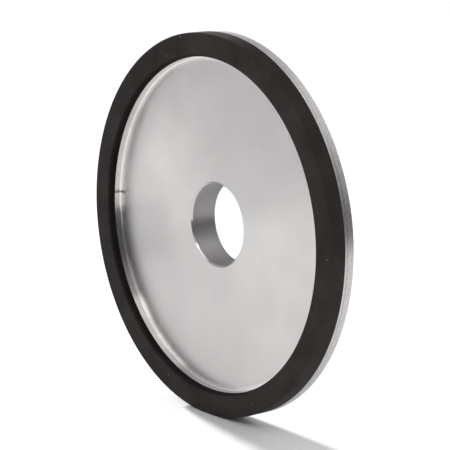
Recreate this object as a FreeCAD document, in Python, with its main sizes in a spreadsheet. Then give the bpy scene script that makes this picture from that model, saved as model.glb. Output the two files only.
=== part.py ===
"""Resin-bond diamond face wheel, dish shape: a turned aluminium body with a pressed resin rim.

Frame: millimetres, +Z up.  The wheel turns about the Y axis.  The origin lies on that axis, half
way through the wheel's whole thickness, and the abrasive face looks along -Y.

Every piece is a solid of revolution.  Its half section is drawn on the XY plane, with X as the
radius, and turned about the Y axis.  Depths are measured back from the abrasive face.
"""

import FreeCAD, Part
import Sketcher
import os

KEY_COUNT = 2
CLEAR = 1.0
FULL_TURN = 360.0
MATCH = 1e-4

# Driving dimensions: alias, value in millimetres or degrees, what it is.
DIMENSIONS = [
    ("wheel_radius", 75.0, "outer radius of the wheel"),
    ("wheel_depth", 18.0, "whole thickness, abrasive face to back face"),
    ("bore_radius", 16.0, "spindle bore"),
    ("bore_chamfer", 0.85, "45 degree chamfer on both mouths of the bore"),
    ("floor_depth", 6.0, "recessed front floor"),
    ("floor_corner", 0.7, "fillet where the floor meets the inner wall"),
    ("band_back_depth", 11.1, "back edge of the rim's outer band"),
    ("cone_angle", 20.0, "slope of the back cone, in degrees"),
    ("back_edge_round", 1.0, "rounding between the outer band and the back cone"),
    ("hub_edge_round", 3.0, "rounding between the back cone and the back face"),
    ("rim_width", 9.3, "radial width of the abrasive face"),
    ("abrasive_depth", 3.0, "thickness of the diamond layer"),
    ("rim_inner_round", 1.5, "rounding of the abrasive face's inner edge"),
    ("rim_outer_round", 0.4, "rounding of the abrasive face's outer edge"),
    ("seat_depth", 6.8, "aluminium seat under the resin ring"),
    ("lip_width", 2.4, "aluminium lip inside the backing ring"),
    ("film", 0.12, "thickness of the bond film"),
    ("key_width", 1.2, "keying groove in the seat"),
    ("key_depth", 0.8, "depth of a keying groove"),
    ("key_pitch", 2.4, "spacing of the keying grooves"),
    ("score_offset", 1.15, "scored line on the outer band, behind the seat"),
    ("score_width", 0.4, "width of the scored line"),
    ("score_depth", 0.2, "depth of the scored line"),
]

# Expressions that several profiles share: radii from the axis, depths from the abrasive face.
OUTSIDE = "Sizes.wheel_radius"
INSIDE = "(Sizes.wheel_radius - Sizes.rim_width)"
BORE = "Sizes.bore_radius"
LIP_OUTSIDE = f"({INSIDE} + Sizes.lip_width)"
LIP_TOP = "(Sizes.abrasive_depth + Sizes.film)"
ABRASIVE = "Sizes.abrasive_depth"
FLOOR = "Sizes.floor_depth"
SEAT = "Sizes.seat_depth"
BAND_BACK = "Sizes.band_back_depth"
BACK = "Sizes.wheel_depth"
HUB_FLAT = f"({OUTSIDE} - ({BACK} - {BAND_BACK}) / tan(Sizes.cone_angle * 1 deg))"
SCORE = f"({SEAT} + Sizes.score_offset)"

doc = FreeCAD.newDocument("DiamondWheel")
sheet = doc.addObject("Spreadsheet::Sheet", "Sizes")
for row, (alias, size, note) in enumerate(DIMENSIONS, start=1):
    sheet.set(f"A{row}", note)
    sheet.set(f"B{row}", str(size))
    sheet.setAlias(f"B{row}", alias)
doc.recompute()


def value(expression):
    """What an expression over the sheet's cells comes to, as a plain number."""
    result = sheet.evalExpression(expression)
    return float(getattr(result, "Value", result))


def front_offset(depth):
    """The expression for a depth's place along Y."""
    return f"{depth} - Sizes.wheel_depth / 2"


def new_body(label):
    """An empty body.  Its label is the piece's name."""
    body = doc.addObject("PartDesign::Body", label)
    body.Label = label
    return body


def half_section(body, name, points):
    """A closed sketch on the XY plane through (radius, depth) points, each bound to the sheet."""
    sketch = body.newObject("Sketcher::SketchObject", name)
    plane = next(item for item in body.Origin.OriginFeatures if item.Role == "XY_Plane")
    sketch.AttachmentSupport = [(plane, "")]
    sketch.MapMode = "FlatFace"
    bound = [(radius, front_offset(depth)) for radius, depth in points]
    corners = [FreeCAD.Vector(value(across), value(along), 0) for across, along in bound]
    count = len(corners)
    for i in range(count):
        sketch.addGeometry(Part.LineSegment(corners[i], corners[(i + 1) % count]), False)
    for i in range(count):
        sketch.addConstraint(Sketcher.Constraint("Coincident", i, 2, (i + 1) % count, 1))
    for i, (across, along) in enumerate(bound):
        held = [("DistanceX", corners[i].x, across), ("DistanceY", corners[i].y, along)]
        for kind, place, expression in held:
            index = sketch.addConstraint(Sketcher.Constraint(kind, -1, 1, i, 1, place))
            sketch.setExpression(f"Constraints[{index}]", expression)
    return sketch


def turn(body, name, points, kind="Revolution"):
    """Turns a half section about the wheel's axis: a Revolution adds it, a Groove cuts it away."""
    before = 0.0 if kind == "Revolution" else body.Shape.Volume
    sketch = half_section(body, name + "Sketch", points)
    feature = body.newObject("PartDesign::" + kind, name)
    feature.Profile = sketch
    feature.ReferenceAxis = (sketch, ["V_Axis"])
    feature.Angle = FULL_TURN
    body.Tip = feature
    doc.recompute()
    change = body.Shape.Volume - before
    if (change > 0) != (kind == "Revolution"):
        raise RuntimeError(f"{name} changed {body.Label} by {change:.1f} mm3")
    return feature


def edge_at(body, radius, depth):
    """The name of the round edge of a body at that radius and depth."""
    wanted_radius = value(radius)
    wanted_y = value(front_offset(depth))
    for number, edge in enumerate(body.Shape.Edges, start=1):
        curve = edge.Curve
        if isinstance(curve, Part.Circle) and abs(curve.Radius - wanted_radius) < MATCH:
            if abs(curve.Center.y - wanted_y) < MATCH:
                return f"Edge{number}"
    raise RuntimeError(f"{body.Label} has no round edge at radius {radius}, depth {depth}")


def dress(body, name, kind, size, places):
    """A Fillet or Chamfer of one size on the edges at the given (radius, depth) places."""
    base = body.Tip
    edges = [edge_at(body, radius, depth) for radius, depth in places]
    feature = body.newObject("PartDesign::" + kind, name)
    feature.Base = (base, edges)
    feature.setExpression("Radius" if kind == "Fillet" else "Size", size)
    body.Tip = feature
    doc.recompute()
    return feature


def key_outline(inset):
    """The keying grooves' outline along the seat, inwards from the outer band.

    inset moves every wall of the grooves into the resin by that thickness.
    """
    middle = f"({LIP_OUTSIDE} + {OUTSIDE}) / 2"
    outline = []
    for step in reversed(range(KEY_COUNT)):
        centre = f"{middle} + {step - (KEY_COUNT - 1) / 2} * Sizes.key_pitch"
        half = f"(Sizes.key_width / 2 - {inset})"
        mouth = f"({SEAT} - {inset})"
        foot = f"({SEAT} + Sizes.key_depth - {inset})"
        outline.append((f"{centre} + {half}", mouth))
        outline.append((f"{centre} + {half}", foot))
        outline.append((f"{centre} - {half}", foot))
        outline.append((f"{centre} - {half}", mouth))
    return outline


def make_aluminium_body():
    """The turned core: hub and bore, front recess, lip and keyed seat for the resin, back cone."""
    body = new_body("aluminium_body")
    blank = [(BORE, LIP_TOP),
             (OUTSIDE, LIP_TOP),
             (OUTSIDE, BAND_BACK),
             (HUB_FLAT, BACK),
             (BORE, BACK)]
    turn(body, "Blank", blank)

    above = f"{LIP_TOP} - {CLEAR}"
    inner = f"{BORE} - {CLEAR}"
    outer = f"{OUTSIDE} + {CLEAR}"
    recess = [(inner, above), (INSIDE, above), (INSIDE, FLOOR), (inner, FLOOR)]
    turn(body, "Recess", recess, "Groove")

    seat = [(LIP_OUTSIDE, above),
            (outer, above),
            (outer, SEAT),
            *key_outline("0"),
            (LIP_OUTSIDE, SEAT)]
    turn(body, "RimSeat", seat, "Groove")

    half = "Sizes.score_width / 2"
    score = [(f"{OUTSIDE} - Sizes.score_depth", SCORE),
             (OUTSIDE, f"{SCORE} - {half}"),
             (OUTSIDE, f"{SCORE} + {half}")]
    turn(body, "ScoredLine", score, "Groove")

    dress(body, "FloorCorner", "Fillet", "Sizes.floor_corner", [(INSIDE, FLOOR)])
    dress(body, "BackEdge", "Fillet", "Sizes.back_edge_round", [(OUTSIDE, BAND_BACK)])
    dress(body, "HubEdge", "Fillet", "Sizes.hub_edge_round", [(HUB_FLAT, BACK)])
    dress(body, "BoreMouths", "Chamfer", "Sizes.bore_chamfer", [(BORE, FLOOR), (BORE, BACK)])
    return body


def make_diamond_rim():
    """The abrasive layer: diamond grit in black resin, the full width of the face."""
    body = new_body("diamond_rim")
    section = [(INSIDE, "0"), (OUTSIDE, "0"), (OUTSIDE, ABRASIVE), (INSIDE, ABRASIVE)]
    turn(body, "AbrasiveLayer", section)
    dress(body, "InnerEdge", "Fillet", "Sizes.rim_inner_round", [(INSIDE, "0")])
    dress(body, "OuterEdge", "Fillet", "Sizes.rim_outer_round", [(OUTSIDE, "0")])
    return body


def make_backing_ring():
    """Plain resin behind the abrasive layer, outside the lip, keyed into the seat's grooves."""
    body = new_body("backing_ring")
    beside_lip = f"({LIP_OUTSIDE} + Sizes.film)"
    foot = f"({SEAT} - Sizes.film)"
    section = [(beside_lip, ABRASIVE), (OUTSIDE, ABRASIVE), (OUTSIDE, foot)]
    turn(body, "BackingLayer", [*section, *key_outline("Sizes.film"), (beside_lip, foot)])
    return body


def make_bond_film():
    """The cured film between resin and aluminium: over the lip, down its side, along the seat."""
    body = new_body("bond_film")
    beside_lip = f"({LIP_OUTSIDE} + Sizes.film)"
    foot = f"({SEAT} - Sizes.film)"
    resin_side = [(INSIDE, ABRASIVE), (beside_lip, ABRASIVE), (beside_lip, foot)]
    resin_side += reversed(key_outline("Sizes.film"))
    resin_side += [(OUTSIDE, foot)]
    metal_side = [(OUTSIDE, SEAT),
                  *key_outline("0"),
                  (LIP_OUTSIDE, SEAT),
                  (LIP_OUTSIDE, LIP_TOP),
                  (INSIDE, LIP_TOP)]
    turn(body, "Film", resin_side + metal_side)
    return body


def check(pieces):
    """Stops before anything is written if an object failed or a piece isn't one valid solid."""
    for item in doc.Objects:
        if "Invalid" in item.State or "Error" in item.State:
            raise RuntimeError(f"{item.Label} failed: {item.State}")
    for piece in pieces:
        shape = piece.Shape
        if shape.isNull() or not shape.isValid() or len(shape.Solids) != 1:
            raise RuntimeError(f"{piece.Label} isn't one valid solid")


pieces = [make_aluminium_body(), make_diamond_rim(), make_backing_ring(), make_bond_film()]
doc.recompute()
check(pieces)

os.makedirs("parts", exist_ok=True)
for piece in pieces:
    piece.Shape.exportStep(f"parts/{piece.Label}.step")
    print(f"{piece.Label}: {piece.Shape.Volume:.1f} mm3")
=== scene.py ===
"""Looks for the diamond face wheel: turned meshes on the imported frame, materials, studio, camera.

Lengths are metres in the frame of the CAD model: the wheel turns about Y, its abrasive face looks
along -Y, and it stands on its rim with +Z up.
"""

import math

import bmesh
import bpy
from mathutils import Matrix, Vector


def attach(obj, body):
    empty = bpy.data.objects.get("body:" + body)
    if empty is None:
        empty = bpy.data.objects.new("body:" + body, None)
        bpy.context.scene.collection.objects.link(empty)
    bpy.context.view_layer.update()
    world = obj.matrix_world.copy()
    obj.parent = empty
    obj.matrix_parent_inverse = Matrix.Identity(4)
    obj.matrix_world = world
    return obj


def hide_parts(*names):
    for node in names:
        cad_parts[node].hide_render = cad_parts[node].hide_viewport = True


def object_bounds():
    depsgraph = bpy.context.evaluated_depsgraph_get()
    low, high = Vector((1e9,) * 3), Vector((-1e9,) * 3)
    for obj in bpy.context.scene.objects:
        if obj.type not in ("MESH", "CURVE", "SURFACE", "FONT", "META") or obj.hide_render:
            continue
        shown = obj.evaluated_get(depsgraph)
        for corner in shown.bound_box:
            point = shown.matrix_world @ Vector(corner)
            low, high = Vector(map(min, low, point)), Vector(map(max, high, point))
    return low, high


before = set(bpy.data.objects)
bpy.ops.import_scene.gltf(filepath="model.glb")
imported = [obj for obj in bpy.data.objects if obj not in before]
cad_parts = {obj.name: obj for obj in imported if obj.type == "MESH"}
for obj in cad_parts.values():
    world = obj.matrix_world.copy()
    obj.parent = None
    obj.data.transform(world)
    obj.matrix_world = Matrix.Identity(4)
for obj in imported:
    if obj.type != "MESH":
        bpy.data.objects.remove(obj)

cad_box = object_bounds()

MM = 0.001
SEGMENTS = 480
BODY = "root"

# A real nick on the recess, and the places of a painted highlight and a painted dark reflection on its
# floor, as angles round the axis from +X towards +Z.
NICK_ANGLE = math.radians(177)
PAINTED_HIGHLIGHT_ANGLE = math.radians(141)
PAINTED_REFLECTION_ANGLE = math.radians(191)

# Where one finish, or one painted shade or highlight, blends into the next: a start and an end, as radii
# from the axis.
BORE_EDGE = (16.1 * MM, 16.5 * MM)
BORE_MOUTH = (16.05 * MM, 16.4 * MM)
FLOOR_INNER = (24 * MM, 42 * MM)
FLOOR_OUTER = (50 * MM, 57 * MM)
NICK_START = (61.5 * MM, 63 * MM)
LIP_START = (63.4 * MM, 64.8 * MM)
RESIN_INNER = (65.8 * MM, 66.9 * MM)
BAND_START = (74.2 * MM, 74.8 * MM)
RESIN_OUTER = (74.5 * MM, 74.9 * MM)
# The same for the front recess, as places along the axis.
RECESS_BACK = (-2.8 * MM, -2.4 * MM)

PALE_GRAIN = (0.16, 0.15, 0.13, 1)

# Camera: where the view comes from, and how far the wheel sits from the middle of the picture.
VIEW_AZIMUTH = 52.36
VIEW_ELEVATION = 11.62
VIEW_DISTANCE = 747.8 * MM
VIEW_RIGHT = 7.98 * MM
VIEW_UP = 0.62 * MM
LENS = 154.55
SENSOR = 36.0

SOFTBOX_DISTANCE = 1.3


# ---------------------------------------------------------------- shapes from the frame

def half_section(node, reach=0.09 * MM, shortest=0.03 * MM):
    """The node's outline on one side of its axis, as (radius, y) corners in order.

    The node is a solid of revolution.  A cut through the axis, turned a little so that it misses
    the mesh's own vertices, gives the order of its corners.  The rings of its vertices give their
    exact radii.  reach is how far a corner may lie from its ring, and shortest the least step.
    """
    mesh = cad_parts[node].data
    rings = sorted({(round(math.hypot(v.co.x, v.co.z), 6), round(v.co.y, 6)) for v in mesh.vertices})
    work = bmesh.new()
    work.from_mesh(mesh)
    bmesh.ops.remove_doubles(work, verts=work.verts, dist=1e-6)
    everything = work.verts[:] + work.edges[:] + work.faces[:]
    cut = bmesh.ops.bisect_plane(work, geom=everything, plane_co=(0, 0, 0), plane_no=(0.013, 0, 1))
    ahead = {}
    for edge in cut["geom_cut"]:
        if isinstance(edge, bmesh.types.BMEdge) and all(v.co.x > 0 for v in edge.verts):
            first, second = edge.verts
            ahead.setdefault(first, []).append(second)
            ahead.setdefault(second, []).append(first)
    start = next(iter(ahead))
    loop = [start]
    last, here = None, start
    while True:
        there = next(v for v in ahead[here] if v is not last)
        if there is start:
            break
        loop.append(there)
        last, here = here, there
    corners = []
    for vertex in loop:
        place = (math.hypot(vertex.co.x, vertex.co.z), vertex.co.y)
        near = min(rings, key=lambda ring: math.dist(ring, place))
        if math.dist(near, place) < reach and all(math.dist(near, c) > shortest for c in corners):
            corners.append(near)
    work.free()
    return corners


def closer(corners, longest):
    """The outline with its long straight runs divided, so that no step is longer than that."""
    points = []
    for here, there in zip(corners, corners[1:] + corners[:1]):
        steps = max(1, math.ceil(math.dist(here, there) / longest))
        for step in range(steps):
            share = step / steps
            radius = here[0] + (there[0] - here[0]) * share
            along = here[1] + (there[1] - here[1]) * share
            points.append((radius, along))
    return points


def turned_piece(name, node, longest=4 * MM, sharp=math.radians(32)):
    """A closed mesh turned from the node's outline, in the node's place."""
    outline = closer(half_section(node), longest)
    mesh = bpy.data.meshes.new(name)
    work = bmesh.new()
    rings = []
    for step in range(SEGMENTS):
        angle = 2 * math.pi * step / SEGMENTS
        across, up = math.cos(angle), math.sin(angle)
        rings.append([work.verts.new((r * across, y, r * up)) for r, y in outline])
    for ring, following in zip(rings, rings[1:] + rings[:1]):
        for i in range(len(outline)):
            j = (i + 1) % len(outline)
            work.faces.new((ring[i], ring[j], following[j], following[i]))
    bmesh.ops.recalc_face_normals(work, faces=work.faces)
    for face in work.faces:
        face.smooth = True
    for edge in work.edges:
        edge.smooth = edge.calc_face_angle(0) < sharp
    work.to_mesh(mesh)
    work.free()
    piece = bpy.data.objects.new(name, mesh)
    bpy.context.scene.collection.objects.link(piece)
    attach(piece, BODY)
    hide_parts(node)
    return piece


# ---------------------------------------------------------------- materials

class Shader:
    """A node material with its Principled shader and output, and short ways to add and join nodes."""

    def __init__(self, name):
        self.material = bpy.data.materials.new(name)
        self.material.use_nodes = True
        self.tree = self.material.node_tree
        self.shader = self.tree.nodes["Principled BSDF"]
        self.place = self.add("ShaderNodeTexCoord").outputs["Object"]

    def add(self, kind, **settings):
        node = self.tree.nodes.new(kind)
        for key, item in settings.items():
            setattr(node, key, item)
        return node

    def join(self, source, target):
        if isinstance(source, (int, float, tuple)):
            target.default_value = source
        else:
            self.tree.links.new(source, target)

    def math(self, operation, *values):
        node = self.add("ShaderNodeMath", operation=operation)
        for value, socket in zip(values, node.inputs):
            self.join(value, socket)
        return node.outputs[0]

    def product(self, first, *factors):
        for factor in factors:
            first = self.math("MULTIPLY", first, factor)
        return first

    def noise(self, scale, detail, vector=None, dimensions="3D", w=None, roughness=0.5):
        node = self.add("ShaderNodeTexNoise", noise_dimensions=dimensions)
        node.inputs["Scale"].default_value = scale
        node.inputs["Detail"].default_value = detail
        node.inputs["Roughness"].default_value = roughness
        if w is not None:
            self.join(w, node.inputs["W"])
        if dimensions != "1D":
            self.join(vector or self.place, node.inputs["Vector"])
        return node.outputs["Fac"]

    def ramp(self, source, *stops):
        """A colour ramp.  stops are (position, grey or colour)."""
        node = self.add("ShaderNodeValToRGB")
        elements = node.color_ramp.elements
        while len(elements) < len(stops):
            elements.new(0.5)
        for element, (position, colour) in zip(elements, stops):
            element.position = position
            grey = isinstance(colour, (int, float))
            element.color = (colour, colour, colour, 1) if grey else (*colour, 1)
        self.join(source, node.inputs["Fac"])
        return node.outputs["Color"]

    def bump(self, height, strength, distance, normal=None):
        node = self.add("ShaderNodeBump")
        node.inputs["Strength"].default_value = strength
        node.inputs["Distance"].default_value = distance
        self.join(height, node.inputs["Height"])
        if normal is not None:
            self.join(normal, node.inputs["Normal"])
        return node.outputs["Normal"]

    def radius(self):
        """Distance from the wheel's axis, and the place along it."""
        parts = self.add("ShaderNodeSeparateXYZ")
        self.join(self.place, parts.inputs[0])
        x, y, z = parts.outputs
        squared = self.math("ADD", self.math("MULTIPLY", x, x), self.math("MULTIPLY", z, z))
        return self.math("SQRT", squared), y

    def around(self):
        """The place shrunk to its direction from the axis, so that patterns on it run out as spokes."""
        flat = self.add("ShaderNodeVectorMath", operation="MULTIPLY")
        self.join(self.place, flat.inputs[0])
        flat.inputs[1].default_value = (1, 0, 1)
        unit = self.add("ShaderNodeVectorMath", operation="NORMALIZE")
        self.join(flat.outputs[0], unit.inputs[0])
        return unit.outputs[0]

    def between(self, source, span, first, last):
        """A smooth step from the first to the last value as the source crosses the span."""
        step = self.add("ShaderNodeMapRange", interpolation_type="SMOOTHSTEP")
        self.join(source, step.inputs[0])
        for socket, value in zip(step.inputs[1:5], (*span, first, last)):
            socket.default_value = value
        return step.outputs[0]

    def stroke(self, angle, width):
        """1 on a narrow line that runs outward from the axis at that angle from +X towards +Z."""
        turned = self.add("ShaderNodeVectorRotate", rotation_type="Y_AXIS")
        self.join(self.place, turned.inputs["Vector"])
        turned.inputs["Angle"].default_value = angle
        parts = self.add("ShaderNodeSeparateXYZ")
        self.join(turned.outputs[0], parts.inputs[0])
        outward, _, aside = parts.outputs
        near = self.between(self.math("ABSOLUTE", aside), (width * 0.4, width), 1, 0)
        return self.product(near, self.between(outward, (0, MM), 0, 1))

    def specks(self, scale, rarity, size):
        """1 on small round specks.  A cell of that scale has one if its chance is over the rarity."""
        cells = self.add("ShaderNodeTexVoronoi")
        cells.inputs["Scale"].default_value = scale
        self.join(self.place, cells.inputs["Vector"])
        parts = self.add("ShaderNodeSeparateColor")
        self.join(cells.outputs["Color"], parts.inputs[0])
        chosen = self.math("GREATER_THAN", parts.outputs[0], rarity)
        inside = self.between(cells.outputs["Distance"], (size * 0.6, size), 1, 0)
        return self.product(chosen, inside)

    def scaled(self, colour, factor):
        product = self.add("ShaderNodeVectorMath", operation="SCALE")
        self.join(colour, product.inputs[0])
        self.join(factor, product.inputs["Scale"])
        return product.outputs[0]


def painted_bore_shade_band_sheen_and_grain(made, radius):
    """How bright each turned face is: painted shade darkens the reamed bore, painted sheen brightens the
    outer band, and real grain speckles the band.
    """
    # painted shade: the bore's colour is darkened
    bore = made.between(radius, BORE_EDGE, 0.82, 1.0)
    # painted sheen: the outer band's colour is brightened
    band = made.between(radius, BAND_START, 1.0, 1.3)
    grains = made.math("SUBTRACT", made.noise(1900, 2), 0.5)
    speckle = made.product(grains, made.between(radius, BAND_START, 0, 0.9))
    return made.product(bore, band, made.math("ADD", 1.0, speckle))


def recess_marks_and_painted_light(made, radius, along):
    """How marks and painted light change the recess: a real nick across the lip and pits, a paler patch
    that is a painted highlight, a duller wedge that is a painted dark reflection, and a painted
    highlight on the lip.
    """
    front = made.between(along, RECESS_BACK, 1, 0)
    nick = made.product(made.stroke(NICK_ANGLE, 0.6 * MM), made.between(radius, NICK_START, 0, 1), front)
    pits = made.specks(420, 0.9, 0.16)
    marks = made.product(made.math("SUBTRACT", 1.0, made.product(nick, 0.62)),
                         made.math("SUBTRACT", 1.0, made.product(pits, 0.3)))
    # painted highlight: a paler patch on the floor, standing in for the sheen of the turned floor
    pale = made.product(made.stroke(PAINTED_HIGHLIGHT_ANGLE, 18 * MM), made.between(radius, FLOOR_OUTER, 0.07, 0))
    # painted reflection: a darker wedge across the floor, standing in for a dark reflection
    painted_dark_reflection = made.product(made.stroke(PAINTED_REFLECTION_ANGLE, 17 * MM), 0.13)
    painted_floor_sheen = made.product(made.between(radius, FLOOR_INNER, 0, 1), made.math("SUBTRACT", pale, painted_dark_reflection))
    # painted highlight: the lip's colour is brightened towards its front
    lip = made.math("MAXIMUM", made.product(front, made.between(radius, LIP_START, 1.0, 1.35)), 1.0)
    return made.product(marks, lip, made.math("ADD", 1.0, painted_floor_sheen))


def turned_aluminium():
    """Lathe-turned aluminium: fine rings about the axis, so highlights stretch along the radius."""
    made = Shader("turned_aluminium")
    shader = made.shader
    shader.inputs["Metallic"].default_value = 1.0
    shader.inputs["Anisotropic"].default_value = 1.0
    shader.inputs["Anisotropic Rotation"].default_value = 0.25
    tangent = made.add("ShaderNodeTangent", direction_type="RADIAL", axis="Y")
    made.join(tangent.outputs[0], shader.inputs["Tangent"])
    radius, along = made.radius()

    rings = made.noise(5000, 3, dimensions="1D", w=made.math("ADD", radius, along))
    smudges = made.noise(45, 4, roughness=0.6)
    tone = made.math("ADD", made.product(smudges, 0.7), made.product(rings, 0.3))
    clean = made.ramp(tone, (0.36, (0.536, 0.522, 0.519)), (0.64, (0.620, 0.603, 0.599)))
    shade = made.product(painted_bore_shade_band_sheen_and_grain(made, radius), recess_marks_and_painted_light(made, radius, along))
    made.join(made.scaled(clean, shade), shader.inputs["Base Color"])

    rough = made.math("ADD", made.between(radius, BORE_MOUTH, 0.65, 0.19),
                      made.between(radius, BAND_START, 0, 0.3))
    made.join(made.math("ADD", rough, made.product(smudges, 0.07)), shader.inputs["Roughness"])

    turned = made.bump(rings, 0.10, 0.01 * MM)
    spokes = made.product(made.noise(5, 3, vector=made.around()), radius, 20)
    made.join(made.bump(spokes, 0.8, 0.06 * MM, turned), shader.inputs["Normal"])
    return made.material


def resin(name, dark, light):
    """Matt black filled resin: mottled, with a fine grain and a few pale grains at the surface."""
    made = Shader(name)
    shader = made.shader
    grain = made.noise(3500, 3, roughness=0.6)
    clouds = made.noise(70, 4, roughness=0.6)
    tone = made.math("ADD", made.product(clouds, 0.7), made.product(grain, 0.3))
    mixed = made.add("ShaderNodeMix", data_type="RGBA")
    made.join(made.specks(330, 0.93, 0.12), mixed.inputs[0])
    made.join(made.ramp(tone, (0.38, dark), (0.62, light)), mixed.inputs[6])
    mixed.inputs[7].default_value = PALE_GRAIN
    # painted shade darkens the moulded inner wall against the dressed face, and painted light makes the
    # periphery a little lighter
    radius, _ = made.radius()
    painted_shade_and_light = made.product(made.between(radius, RESIN_INNER, 0.45, 1.0),
                        made.between(radius, RESIN_OUTER, 1.0, 1.2))
    made.join(made.scaled(mixed.outputs[2], painted_shade_and_light), shader.inputs["Base Color"])
    made.join(made.ramp(grain, (0.3, 0.68), (0.7, 0.85)), shader.inputs["Roughness"])
    made.join(made.bump(grain, 0.3, 0.03 * MM), shader.inputs["Normal"])
    shader.inputs["Specular IOR Level"].default_value = 0.05
    return made.material


def paper(name, brightness):
    """Matt paper, very slightly uneven."""
    made = Shader(name)
    colour = made.ramp(made.noise(3, 3), (0.3, brightness * 0.99), (0.7, brightness))
    made.join(colour, made.shader.inputs["Base Color"])
    made.shader.inputs["Roughness"].default_value = 0.9
    return made.material


# ---------------------------------------------------------------- pieces

# name, the CAD node it stands for, material slot, material
PIECES = (
    ("turned_body", "aluminium_body", "turned_aluminium", turned_aluminium()),
    ("abrasive_ring", "diamond_rim", "diamond_resin",
     resin("diamond_resin", (0.0280, 0.0248, 0.0237), (0.0415, 0.0372, 0.0356))),
    ("backing_layer", "backing_ring", "backing_resin",
     resin("backing_resin", (0.0275, 0.0244, 0.0233), (0.0410, 0.0367, 0.0351))),
    ("film_line", "bond_film", "bond_film",
     resin("bond_film", (0.009, 0.0085, 0.008), (0.014, 0.013, 0.012))),
)
for name, node, slot, material in PIECES:
    piece = turned_piece(name, node)
    piece.data.materials.append(material)


# ---------------------------------------------------------------- floor, light and camera

def direction(azimuth, elevation):
    """The unit vector towards a place at that azimuth from -Y, turning towards +X, and elevation."""
    turn = math.radians(azimuth)
    rise = math.radians(elevation)
    level = math.cos(rise)
    return Vector((math.sin(turn) * level, -math.cos(turn) * level, math.sin(rise)))


def studio_sheet(left, right, behind, ahead):
    """A long pale sheet under the wheel, running away from the camera."""
    low = cad_box[0][2]
    away = direction(VIEW_AZIMUTH + 180, 0)
    side = direction(VIEW_AZIMUTH + 90, 0)
    near = away * -ahead
    far = away * behind
    corners = [near - side * left, near + side * right, far + side * right, far - side * left]
    mesh = bpy.data.meshes.new("studio_sheet")
    mesh.from_pydata([(c.x, c.y, low) for c in corners], [], [(0, 1, 2, 3)])
    sheet = bpy.data.objects.new("studio_sheet", mesh)
    mesh.materials.append(paper("studio_sheet", 0.9))
    bpy.context.scene.collection.objects.link(sheet)


def lamp(name, kind, azimuth, elevation, distance, energy, **settings):
    """A lamp at that direction and distance from the wheel, turned towards it."""
    light = bpy.data.lights.new(name, kind)
    light.energy = energy
    for key, item in settings.items():
        setattr(light, key, item)
    place = bpy.data.objects.new(name, light)
    towards = direction(azimuth, elevation)
    place.location = towards * distance
    place.rotation_euler = towards.to_track_quat("Z", "Y").to_euler()
    bpy.context.scene.collection.objects.link(place)


def softbox(name, azimuth, elevation, width, height, radiance):
    """A rectangular lamp that looks equally bright from everywhere in front of it."""
    energy = radiance * math.pi * width * height
    lamp(name, "AREA", azimuth, elevation, SOFTBOX_DISTANCE, energy,
         shape="RECTANGLE", size=width, size_y=height)


def room(brightness, lean):
    """An even grey surrounding.  lean is how much brighter it gets along each axis."""
    world = bpy.data.worlds.new("studio")
    world.use_nodes = True
    nodes = world.node_tree.nodes
    links = world.node_tree.links
    towards = nodes.new("ShaderNodeTexCoord")
    leaning = nodes.new("ShaderNodeVectorMath")
    leaning.operation = "DOT_PRODUCT"
    leaning.inputs[1].default_value = lean
    level = nodes.new("ShaderNodeMath")
    level.inputs[1].default_value = brightness
    links.new(towards.outputs["Generated"], leaning.inputs[0])
    links.new(leaning.outputs["Value"], level.inputs[0])
    links.new(level.outputs[0], nodes["Background"].inputs["Strength"])
    nodes["Background"].inputs["Color"].default_value = (1, 1, 1, 1)
    bpy.context.scene.world = world


def studio_camera():
    """The camera looks at the abrasive face from its front right, a little off the face's centre."""
    lens = bpy.data.cameras.new("camera")
    lens.sensor_width = SENSOR
    lens.lens = LENS
    lens.clip_start = 0.01
    camera = bpy.data.objects.new("camera", lens)
    back = direction(VIEW_AZIMUTH, VIEW_ELEVATION)
    right = direction(VIEW_AZIMUTH + 90, 0)
    up = back.cross(right)
    face_centre = Vector((0, cad_box[0][1], 0))
    camera.location = face_centre + back * VIEW_DISTANCE + right * VIEW_RIGHT + up * VIEW_UP
    camera.rotation_euler = back.to_track_quat("Z", "Y").to_euler()
    bpy.context.scene.collection.objects.link(camera)
    bpy.context.scene.camera = camera


studio_sheet(left=0.9, right=0.45, behind=3.0, ahead=0.6)

# the room is brighter to the left of the wheel and behind it
room(brightness=0.43, lean=(-0.30, 0.12, 0))
lamp("key", "SUN", azimuth=263.5, elevation=17.5, distance=1, energy=5.9, angle=math.radians(4.5))
softbox("front", azimuth=8, elevation=32, width=1.5, height=0.6, radiance=0.42)
softbox("top", azimuth=20, elevation=70, width=0.7, height=0.6, radiance=0.6)
softbox("glint", azimuth=-4, elevation=43, width=1.2, height=0.25, radiance=2.2)
softbox("behind", azimuth=150, elevation=34, width=1.5, height=1.1, radiance=0.85)
softbox("spark", azimuth=18, elevation=40, width=0.35, height=0.25, radiance=2.2)

studio_camera()
bpy.context.scene.view_settings.view_transform = "Standard"
